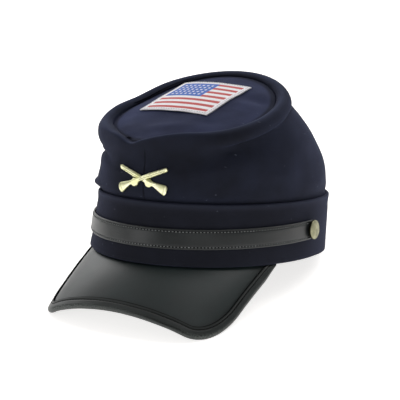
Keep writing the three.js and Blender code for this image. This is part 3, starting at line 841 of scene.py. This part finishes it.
def stitched(name, lines, tree, pitch, length, thread, unevenness):
    """A row of stitches along each line of points, as one plain mesh."""
    points = [cap_place @ Vector(point) for line in lines for point in line]
    edges = []
    for line in lines:
        start = edges[-1][1] + 1 if edges else 0
        edges += [(start + k, start + k + 1) for k in range(len(line) - 1)]
    mesh = bpy.data.meshes.new(name)
    mesh.from_pydata(points, edges, [])
    row = bpy.data.objects.new(name, mesh)
    bpy.context.collection.objects.link(row)
    sewing = row.modifiers.new("sewing", "NODES")
    sewing.node_group = tree
    values = {"Pitch": pitch, "Stitch Length": length, "Thread": thread}
    for item in tree.interface.items_tree:
        if item.name in values:
            sewing[item.identifier] = values[item.name] * 0.001
        elif item.name == "Unevenness":
            sewing[item.identifier] = unevenness
    graph = bpy.context.evaluated_depsgraph_get()
    sewn = bpy.data.meshes.new_from_object(row.evaluated_get(graph))
    row.modifiers.clear()
    row.data = sewn
    return row


def thread_finish(name, color, roughness):
    """Waxed thread: two strands twisted together."""
    finish = Finish(name, specular_ior_level=0.3)
    place = finish.node("ShaderNodeTexCoord", None, None, 3)
    across, ahead, above = finish.parts(place)
    strand = finish.maths("SINE", (across + ahead + above) * (2 * math.pi / 0.0005))
    shade = finish.noise(place, 300.0, 2.0)
    tint = finish.mix(shade.within(0.3, 0.7), color, tuple(0.6 * c for c in color[:3]) + (1.0,))
    normal = finish.bump(strand, 0.00005, 0.4)
    return finish.finish(Base_Color=tint, Roughness=shade * 0.1 + roughness, Normal=normal)


rows, weave = patch_rows()
patch = closed_mesh("flag_patch_cloth", rows, joined=False, weave=weave)
patch.data.materials.append(flag_cloth())
hem = []
half_x = 0.5 * patch_width - patch_sewn_in
half_y = 0.5 * patch_length - patch_sewn_in
corners = [(-half_x, -half_y), (half_x, -half_y), (half_x, half_y), (-half_x, half_y), (-half_x, -half_y)]
for (x0, y0), (x1, y1) in zip(corners, corners[1:]):
    for k in range(40):
        x = x0 + (x1 - x0) * k / 40
        y = y0 + (y1 - y0) * k / 40
        wave = patch_wave(x, y)[1]
        hem.append(patch_point(x, y, sew_gap + 0.92 * patch_wall + wave + 0.28))
white_thread = stitch_tree("patch sewing", thread_finish("white thread", dye(206, 206, 210), 0.6))
patch_stitches = stitched("flag_patch_stitches", [hem], white_thread, 2.3, 1.9, 0.2, 0.12)
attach(patch, "root")
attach(patch_stitches, "root")
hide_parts("flag_patch")


# Peak: a shaped sheet of smooth black leather that runs out and down from under the band. A
# flange stands up from it inside the band, where it is sewn.
peak_wall = 2.0
peak_turn = math.radians(67)
peak_reach = 26.2
peak_drop = 25.5
peak_corner_half_width = 65.2
peak_corner_setback = 14.7
peak_corner_drop = 44.4
peak_arch = 2.2
peak_corner_across = 0.32
peak_corner_along = 0.36
flange_height = 9.0
peak_inset = band_wall + sew_gap + 0.5 * peak_wall
peak_seat = 0.5 * peak_wall - 0.4


def peak_point(across, along):
    """A point of the peak's middle surface: -1 to 1 across, and 0 at the band to 1 in front."""
    turn = across * peak_turn
    inner = band_point(turn, 0.0, peak_inset)
    inner.z = -peak_seat
    side = abs(across)
    front = Vector((
        peak_corner_half_width * math.sin(turn) / math.sin(peak_turn),
        -band_half_length - peak_reach + peak_corner_setback * side ** 2.4,
        -peak_drop - (peak_corner_drop - peak_drop) * side ** 1.9,
    ))
    point = inner.lerp(front, along)
    point.z += 4 * peak_arch * along * (1 - along)
    return point


def peak_limit(across):
    """How far the peak runs out at a place across, with its corners rounded."""
    past = max(0.0, (abs(across) - 1 + peak_corner_across) / peak_corner_across)
    return 1 - peak_corner_along + peak_corner_along * math.sqrt(max(0.0, 1 - past * past))


def peak_places():
    """Places across the peak, closer together towards the ends of its rounded corners."""
    corner = [math.sin(0.5 * math.pi * k / 22) for k in range(23)]
    left = [peak_corner_across * (1 - place) - 1 for place in reversed(corner)]
    middle = [(1 - peak_corner_across) * (k / 24 - 1) for k in range(1, 48)]
    return left + middle + [-place for place in reversed(left)]


def leather(name, dark, light, scuffed, gloss, grain):
    """Black leather with a fine pebbled grain, satin, and scuffed where marked. Where marked at seams and
    edges it has painted shade: darker, rougher, and with its gloss taken away.
    """
    finish = Finish(name, specular_ior_level=0.5, coat_roughness=0.25)
    place = finish.node("ShaderNodeTexCoord", None, None, 3)
    threads = finish.threads()
    inputs = {"Vector": threads, "Scale": 1 / grain, "Randomness": 0.9}
    pebble = finish.node("ShaderNodeTexVoronoi", {"feature": "SMOOTH_F1"}, inputs)
    pores = finish.noise(threads, 2.6 / grain, 2.0)
    patches = finish.noise(place, 60.0, 3.0, 0.6)
    clouds = finish.noise(place, 14.0, 1.0)
    scuffs = finish.noise(threads, 0.9, 4.0, 0.75)
    wear_and_painted_light = (finish.mark("wear_and_painted_light") * scuffs.within(0.42, 0.62)).within(0.0, 1.0)
    color = finish.mix((clouds * 0.5 + patches * 0.5).within(0.35, 0.65), dark, light)
    color = finish.mix(wear_and_painted_light, color, scuffed)
    # Painted shade at grooves, seams and edges: darker, rougher, and Metallic with no coat, so its reflection
    # is taken away too.
    gap = finish.mark("seam")
    color = finish.mix(gap, color, dye(6, 7, 7))
    height = pebble * 0.8 + pores * 0.35
    normal = finish.bump(patches, 0.0004, 0.35, finish.bump(height, 0.00007, 0.4))
    roughness = gloss + patches * 0.14 + wear_and_painted_light * 0.2 + gap * 0.4
    return finish.finish(
        Base_Color=color,
        Roughness=roughness,
        Normal=normal,
        Metallic=gap,
        Coat_Weight=(1 - gap) * 0.12,
    )


def peak_rows():
    grid = []
    for across in peak_places():
        turn = across * peak_turn
        row = [band_point(turn, flange_height * share, peak_inset) for share in (1, 0.75, 0.5, 0.3, 0.15)]
        row += [peak_point(across, peak_limit(across) * k / 32) for k in range(33)]
        for k in range(8, len(row)):
            row[k].z += 0.22 * ripple(row[k], 34, 13.0)
        grid.append(row)
    return sheet_rows(grid, 0.5 * peak_wall)


rows = peak_rows()
peak = closed_mesh("peak_leather", rows, joined=False, marks={"wear_and_painted_light": np.zeros(rows.shape[:2])})
peak.data.materials.append(
    leather("peak leather", dye(17, 26, 26), dye(25, 38, 38), dye(84, 92, 91), 0.4, 0.8)
)
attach(peak, "root")
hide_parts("peak")


# Binding: a strip of finer black leather folded over the edge of the peak and sewn through
# near its inner edges. Its fold is scuffed where the cap has been set down.
binding_wall = 0.9
binding_cover = 5.4
binding_middle = 0.5 * peak_wall + sew_gap + 0.5 * binding_wall
binding_fold = sew_gap + 2.0 * binding_wall
binding_seam = 3.2


def binding_section():
    """The folded strip's two faces, as steps out from the peak's edge and up from its middle."""
    flat = [-binding_cover * (1 - k / 16) for k in range(16)]
    line = [(x, binding_middle, 0.0, 1.0) for x in flat]
    for k in range(17):
        turn = math.pi * (0.5 - k / 16)
        away = Vector((binding_fold * math.cos(turn), binding_middle * math.sin(turn)))
        side = Vector((binding_middle * math.cos(turn), binding_fold * math.sin(turn))).normalized()
        line.append((away.x, away.y, side.x, side.y))
    line += [(x, -binding_middle, 0.0, -1.0) for x in reversed(flat)]
    last = len(line) - 1
    wall = [0.5 * binding_wall * (0.55 if k in (0, last) else 1.0) for k in range(last + 1)]
    seam = [0.42 * bell(x, -binding_seam, 0.45) for x, *_ in line]
    outside = [(x + n * (w - g), y + m * (w - g)) for (x, y, n, m), w, g in zip(line, wall, seam)]
    inside = [(x - n * w, y - m * w) for (x, y, n, m), w in zip(line, wall)]
    return outside + inside[::-1], len(outside)


def binding_frames():
    """Point, way out and way up at each place along the peak's edge, from side to side."""
    reach = peak_limit(1.0)
    side = [reach * (0.04 + 0.96 * k / 20) for k in range(21)]
    places = [(-1.0, along) for along in side]
    places += [(across, peak_limit(across)) for across in peak_places()[1:-1]]
    places += [(1.0, along) for along in reversed(side)]
    edge = [peak_point(across, along) for across, along in places]
    frames = []
    for k, (across, along) in enumerate(places):
        tangent = (edge[min(k + 1, len(edge) - 1)] - edge[max(k - 1, 0)]).normalized()
        aside = peak_point(across + 0.001, along) - peak_point(across - 0.001, along)
        onward = peak_point(across, along + 0.001) - peak_point(across, along - 0.001)
        normal = onward.cross(aside).normalized()
        frames.append((edge[k], tangent.cross(normal).normalized(), normal))
    return frames


frames = binding_frames()
section, outer_count = binding_section()
rows = []
wear_and_painted_light = []
painted_groove_shade = []
for k, (point, out, normal) in enumerate(frames):
    row = []
    marks = []
    dark = []
    share = k / (len(frames) - 1)
    from_end = min(k, len(frames) - 1 - k)
    taper = min(1.0, 0.3 + from_end / 9)
    scuffed = 0.2 + 0.8 * bell(share, 0.33, 0.14) + 0.7 * bell(share, 0.74, 0.06)
    groove = 0.35 + 0.65 * bell(share, 0.85, 0.15)
    creased = 0.8 * bell(share, 0.62, 0.08)
    crease = 1.2 + 0.5 * ripple(point, 6, 29.0)
    for n, (x, y) in enumerate(section):
        place = point + out * (x * taper if x > 0 else x) + normal * y
        place += normal * 0.18 * ripple(place, 9, 17.0) * (1 if n < outer_count else 0)
        place.z = min(place.z, -sew_gap)
        row.append(place)
        on_top = 1 if n < outer_count and y > -0.3 else 0
        marks.append(scuffed * bell(x, 1.4, 1.3) * on_top)
        # Painted shade: darker at the stitch groove, at the inner edge against the peak, and along an
        # unmodelled crease on top.
        dark.append(max(
            groove * bell(x, -binding_seam, 0.55),
            bell(x, -binding_cover, 0.6),
            creased * bell(x, crease, 0.3) * on_top,
        ))
    rows.append(row)
    wear_and_painted_light.append(marks)
    painted_groove_shade.append(dark)
binding = closed_mesh("binding_leather", rows, joined=False, marks={"wear_and_painted_light": wear_and_painted_light, "seam": painted_groove_shade})
binding.data.materials.append(
    leather("binding leather", dye(19, 25, 24), dye(29, 35, 34), dye(98, 104, 100), 0.38, 0.55)
)
sewn_at = binding_middle + 0.5 * binding_wall - 0.28
line = [point - out * binding_seam + normal * sewn_at for point, out, normal in frames]
under = [point - out * binding_seam - normal * sewn_at for point, out, normal in frames]
line = [point for point in line if point.z < -1.0]
under = [point for point in under if point.z < -1.0]
black_thread = stitch_tree("binding sewing", thread_finish("black thread", dye(14, 15, 15), 0.8))
binding_stitches = stitched("binding_stitches", [line, under], black_thread, 2.6, 2.2, 0.24, 0.08)
for piece in (binding, binding_stitches):
    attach(piece, "root")
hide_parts("peak_binding")


# Strap: a flat black leather strap, 14 mm wide, that lies round the front of the band. A row of
# pale stitches runs along each edge, and its round ends are held under the side buttons.
strap_wall = 2.0
strap_width = 13.7
strap_front_height = 17.9
strap_climb = 2.6
strap_seam = 1.9
strap_furrow = 0.22
strap_half_wall = 0.37 * strap_wall
strap_stand = 0.75
strap_round = 0.9
strap_curve = 101.0
strap_sewn_share = 0.955
# The places of a section that lie on its two long edges, as seen from outside
strap_edges = [0, 1, 2, 3, 39, 40, 41]
button_turn = math.radians(86.3)


def strap_height(turn):
    return strap_front_height + strap_climb * (1 - math.cos(turn))


def strap_pad(turn, side):
    """How far the strap's middle surface stands out at a share of its half width."""
    return 0.25 * (1 - side ** 4) + 0.12 * ripple((turn * 90, side * 6, 0), 12, 19.0)


def strap_turns():
    """Turns along the strap, closer together round its ends."""
    end = 0.5 * strap_width / strap_curve
    past = [end * math.sin(0.5 * math.pi * k / 10) for k in range(1, 11)]
    main = [button_turn * (k / 60 - 1) for k in range(121)]
    return [-button_turn - p for p in reversed(past)] + main + [button_turn + p for p in past]


def strap_rows():
    """The strap's sections, and how near each of their points is to a row of stitches, the share by which the
    leather there is darkened as painted shade in the furrow.
    """
    end = 0.5 * strap_width / strap_curve
    sides = [k / 18 - 1 for k in range(37)]
    inner = 0.5 * strap_width - strap_round
    to_seam = [abs(side) * inner - 0.5 * strap_width + strap_seam for side in sides]
    grid = []
    for turn in strap_turns():
        past = max(0.0, abs(turn) - button_turn) / end
        half = 0.5 * strap_width * math.sqrt(max(0.02, 1 - past * past)) - strap_round
        middle = strap_height(turn)
        row = []
        for side, off in zip(sides, to_seam):
            pad = strap_pad(turn, side) - strap_furrow * bell(off, 0, 0.5)
            row.append(band_point(turn, middle + half * side, -sew_gap - strap_stand - pad))
        grid.append(row)
    rows = sheet_rows(grid, strap_half_wall)
    # These shares darken the leather along the stitch furrows as painted shade.
    near = [bell(off, 0, 0.5) for off in to_seam]
    edge = [0.0] * (rows.shape[1] - 3 - len(near))
    return rows, [[0.0] * 3 + near + edge] * len(rows)


rows, sewn = strap_rows()
edges = np.zeros(rows.shape[:2])
edges[:, strap_edges] = 0.3
rubbed = [0.75 * bell(math.degrees(turn), -14, 8) for turn in strap_turns()]
edges += np.array(rubbed)[:, None]
strap = closed_mesh("strap_leather", rows, joined=False, marks={"wear_and_painted_light": edges, "seam": sewn})
strap.data.materials.append(
    leather("strap leather", dye(17, 20, 21), dye(25, 30, 31), dye(70, 73, 73), 0.36, 0.6)
)
lines = []
for side in (-1, 1):
    across = 0.5 * strap_width - strap_seam
    place = across / (0.5 * strap_width - strap_round)
    line = []
    for k in range(121):
        turn = strap_sewn_share * button_turn * (k / 60 - 1)
        out = sew_gap + strap_stand + strap_pad(turn, side * place) - strap_furrow + strap_half_wall + 0.15
        line.append(band_point(turn, strap_height(turn) + side * across, -out))
    lines.append(line)
grey_thread = stitch_tree("strap sewing", thread_finish("grey thread", dye(128, 132, 132), 0.5))
strap_stitches = stitched("strap_stitches", lines, grey_thread, 2.3, 1.35, 0.34, 0.1)
for piece in (strap, strap_stitches):
    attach(piece, "root")
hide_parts("chin_strap")


# Side buttons: flat domed brass buttons with a turned edge, nearly 14 mm across, dulled with
# age. Each has a post through the strap and the band, riveted over a small head inside.
button_radius = 6.8
button_back = 2 * sew_gap + strap_wall
button_front = button_back + 2.0
button_dome = 0.8
button_edge = 0.75
button_face = 0.86
post_radius = 1.5
rivet_radius = 3.0
rivet_depth = 0.8


def aged_brass(name, bright, dull, dark, gloss, spots):
    """Brass whose polish has dulled in patches, darkest where marked: painted shade on the sides of a button
    and of the badge's relief, and dark lines in the badge's grooves.
    """
    finish = Finish(name)
    place = finish.node("ShaderNodeTexCoord", None, None, 3)
    patches = finish.noise(place, spots, 4.0, 0.65)
    fine = finish.noise(place, spots * 6, 2.0)
    color = finish.mix(patches.within(0.38, 0.66), bright, dull)
    patina_and_painted_shade = (finish.mark("wear_and_painted_light") * (patches + 0.5)).within(0.0, 1.0)
    color = finish.mix(patina_and_painted_shade, color, dark)
    normal = finish.bump(fine + patches * 0.5, 0.00004, 0.5)
    roughness = gloss + patches * 0.2 + patina_and_painted_shade * 0.15
    return finish.finish(Base_Color=color, Roughness=roughness, Normal=normal, Metallic=1.0)


def button_profile():
    """Distance from the axis and height over the band, from the rivet to the face's middle."""
    inside = -band_wall - sew_gap
    profile = [
        (0.0, inside - rivet_depth),
        (0.6 * rivet_radius, inside - rivet_depth),
        (rivet_radius, inside - 0.6 * rivet_depth),
        (rivet_radius, inside),
        (post_radius, inside),
        (post_radius, button_back),
        (0.9 * button_radius, button_back),
        (0.97 * button_radius, button_back + 0.3),
    ]
    for x, z in rounded_edge(button_edge, -80, 110, 12):
        profile.append((button_radius - button_edge + x, button_front - button_edge + z))
    for k in range(1, 15):
        share = 1 - k / 14
        rise = button_dome * (1 - share ** 2)
        profile.append((button_face * button_radius * share, button_front + rise))
    return profile


def button_rows(side):
    turn = side * button_turn
    out = band_normal(turn)
    seat = Matrix.Translation(band_point(turn, strap_height(turn), 0.0))
    seat = seat @ out.to_track_quat("Z", "Y").to_matrix().to_4x4()
    profile = button_profile()
    rows = []
    for k in range(56):
        round_turn = 2 * math.pi * k / 56
        spin = Vector((math.cos(round_turn), math.sin(round_turn), 0.0))
        rows.append([seat @ (spin * radius + Vector((0.0, 0.0, height))) for radius, height in profile])
    # The button's side is marked, and so it is painted dark as shade.
    marks = [
        1.0 if radius > button_face * button_radius and height < button_front - 0.45 else 0.1
        for radius, height in profile
    ]
    return rows, [marks] * len(rows)


button_brass = aged_brass(
    "button brass", dye(168, 166, 136), dye(132, 131, 104), dye(46, 44, 30), 0.34, 220.0
)
for side, node in ((1, "button_left"), (-1, "button_right")):
    rows, wear_and_painted_light = button_rows(side)
    button = closed_mesh(node + "_brass", rows, looped=False, marks={"wear_and_painted_light": wear_and_painted_light}, sharp=35.0)
    button.data.materials.append(button_brass)
    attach(button, "root")
    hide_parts(node)


# Badge: two crossed rifles stamped in pale brass, one over the other, with their locks, guards
# and barrel bands in relief. Two posts behind it go through the front of the crown.
badge_rise = 0.49
rifle_share = 1.31
rifle_angle = math.radians(19.9)
rifle_depth = 1.6
rifle_lift = 0.9
badge_tilt = math.radians(0.9)
badge_bend = 0.8
badge_aside = -0.9
badge_post_radius = 1.0
badge_post_reach = 5.0
# A rifle from butt to muzzle: along, its edges over and under the barrel's line
rifle_outline = [
    (0.0, 0.055, 0.11),
    (0.05, 0.065, 0.1),
    (0.2, 0.042, 0.055),
    (0.27, 0.035, 0.042),
    (0.315, 0.042, 0.085),
    (0.385, 0.044, 0.085),
    (0.43, 0.042, 0.042),
    (0.6, 0.042, 0.042),
    (0.74, 0.042, 0.042),
    (0.87, 0.038, 0.038),
    (1.0, 0.038, 0.038),
]
front_height = wall_point(0.0, 1.0).z - band_height
badge_height = band_height + badge_rise * front_height
rifle_length = rifle_share * front_height
badge_post_spacing = 0.33 * rifle_length


def front_point(across, height):
    """The crown's front at a place across and a height, and the way out of it."""
    turn = across / band_half_width
    rise = (height - band_height) / front_height
    for _ in range(20):
        point = wall_point(turn, rise)
        turn += (across - point.x) / band_half_width
        rise += (height - point.z) / rim_half_width / 2
    aside = wall_point(turn + 0.01, rise) - wall_point(turn - 0.01, rise)
    onward = wall_point(turn, rise + 0.01) - wall_point(turn, rise - 0.01)
    return point, aside.cross(onward).normalized()


badge_middle, badge_out = front_point(0.0, badge_height)


def badge_point(across, up, lift):
    """A point of the badge, which is stiff and bends less than the cloth behind it."""
    across += badge_aside
    bent, out = front_point(across * 0.98, badge_height + up)
    level = Vector((across, 0.0, up))
    level.y = badge_middle.y - (badge_out.z * up) / badge_out.y
    level.z = badge_height + up
    place = bent.lerp(level, 1 - badge_bend)
    return place + out.lerp(badge_out, 1 - badge_bend).normalized() * (sew_gap + lift)


def turned(x, y, angle):
    """A place in the badge's plane, turned about its middle."""
    return x * math.cos(angle) - y * math.sin(angle), x * math.sin(angle) + y * math.cos(angle)


def rifle_rows(side, lift):
    rows = []
    wear_and_painted_light = []
    for k in range(73):
        along = k / 72
        over = smooth_between(rifle_outline, along, 1)
        under = smooth_between(rifle_outline, along, 2)
        over += 0.018 * bell(along, 0.345, 0.018)
        band_bump = sum(bell(along, place, 0.01) for place in (0.5, 0.68, 0.86))
        over += 0.006 * band_bump
        under += 0.006 * band_bump
        ends = max(0.0, (along - 0.98) / 0.02, (0.03 - along) / 0.03)
        over *= 1 - 0.4 * ends * ends
        under *= 1 - 0.4 * ends * ends
        row = []
        marks = []
        for n in range(25):
            turn = math.pi * n / 24
            up = 0.5 * (over - under) + 0.5 * (over + under) * math.cos(turn)
            body = math.sin(turn) ** 0.45
            barrel = bell(up, 0.012, 0.02) if along > 0.3 else 0.0
            groove = bell(up, -0.012, 0.007) if 0.45 < along < 0.97 else 0.0
            lock = math.exp(-((along - 0.35) / 0.04) ** 2 - ((up + 0.005) / 0.025) ** 2)
            plate = bell(along, 0.05, 0.009)
            depth = 0.62 + 0.28 * barrel + 0.2 * lock - 0.22 * groove + 0.22 * band_bump - 0.25 * plate
            depth *= rifle_depth
            depth = (depth + lift) * body
            x, y = turned((along - 0.5) * rifle_length, up * rifle_length, rifle_angle)
            x, y = turned(side * x, y, badge_tilt)
            row.append(badge_point(x, y, depth))
            # The relief's sloping edges are darkened as painted shade; the grooves and the butt plate's line
            # are darkened too.
            marks.append(max(groove * 0.35, 0.6 * plate, 1.1 - body * 1.2))
        rows.append(row)
        wear_and_painted_light.append(marks)
    return rows, wear_and_painted_light


badge_brass = aged_brass(
    "badge brass", dye(252, 251, 214), dye(230, 230, 172), dye(104, 102, 54), 0.24, 160.0
)
parts = []
for side, lift in ((-1, 0.0), (1, rifle_lift)):
    rows, wear_and_painted_light = rifle_rows(side, lift)
    parts.append(closed_mesh("rifle", rows, joined=False, marks={"wear_and_painted_light": wear_and_painted_light}, sharp=70.0))
for side in (-1, 1):
    across = 0.5 * side * badge_post_spacing
    drop = math.tan(rifle_angle) * 0.5 * badge_post_spacing
    start = badge_point(across, -drop, 0.5 * rifle_depth)
    rows = []
    for k in range(20):
        turn = 2 * math.pi * k / 20
        x = badge_post_radius * math.cos(turn)
        z = badge_post_radius * math.sin(turn)
        rows.append([
            start + Vector((x * r, y, z * r))
            for r, y in ((0.0, 0.0), (1.0, 0.0), (1.0, badge_post_reach - 0.4), (0.0, badge_post_reach))
        ])
    parts.append(closed_mesh("post", rows, looped=False, marks={"wear_and_painted_light": np.ones((20, 4))}))
with bpy.context.temp_override(active_object=parts[0], selected_editable_objects=parts):
    bpy.ops.object.join()
badge = parts[0]
badge.name = "crossed_rifles_brass"
badge.data.materials.append(badge_brass)
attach(badge, "root")
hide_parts("crossed_rifles")


# Floor and light: a plain white surface in a white studio. The light is soft, from above and
# behind on the cap's right side, and the room on the camera's side is dim.
def soft_light(name, place, size, power):
    light = bpy.data.lights.new(name, "AREA")
    light.shape = "DISK"
    light.size = size
    light.energy = power
    lamp = bpy.data.objects.new(name, light)
    lamp.location = place
    lamp.rotation_euler = (Vector((0.0, 0.0, 0.07)) - Vector(place)).to_track_quat("-Z", "Y").to_euler()
    bpy.context.collection.objects.link(lamp)


soft_light("window", (-1.4, 0.8, 1.0), 1.4, 8)
soft_light("overhead", (0.2, 1.25, 1.8), 2.6, 29)
soft_light("fill", (1.4, -1.5, 1.3), 1.8, 5)
soft_light("front", (-0.8, -1.45, 0.55), 0.8, 3.5)

floor_mesh = bpy.data.meshes.new("floor")
floor_mesh.from_pydata([(-6, -6, 0), (6, -6, 0), (6, 6, 0), (-6, 6, 0)], [], [(0, 1, 2, 3)])
floor = bpy.data.objects.new("floor", floor_mesh)
bpy.context.collection.objects.link(floor)
floor_finish = Finish("floor white", roughness=0.9, specular_ior_level=0.0, emission_strength=0.78)
floor.data.materials.append(floor_finish.finish(
    Base_Color=(0.8, 0.785, 0.77, 1.0),
    Emission_Color=(1.0, 0.99, 0.98, 1.0),
))

world = bpy.data.worlds.new("studio")
world.use_nodes = True
studio = Nodes(world.node_tree)
way = studio.node("ShaderNodeTexCoord")
glow_from = (-0.58, 0.76, 0.28)
lit_side = studio.node(
    "ShaderNodeVectorMath", {"operation": "DOT_PRODUCT"}, {0: way, 1: glow_from}, 1
)
glow = lit_side.within(-0.1, 0.95) * 0.6 + 0.13
seen = studio.node("ShaderNodeLightPath")
strength = studio.maths("MAXIMUM", seen, glow)
studio.tree.links.new(strength.socket, world.node_tree.nodes["Background"].inputs["Strength"])
world.node_tree.nodes["Background"].inputs["Color"].default_value = (1.0, 1.0, 1.0, 1.0)
bpy.context.scene.world = world
bpy.context.scene.view_settings.view_transform = "Standard"
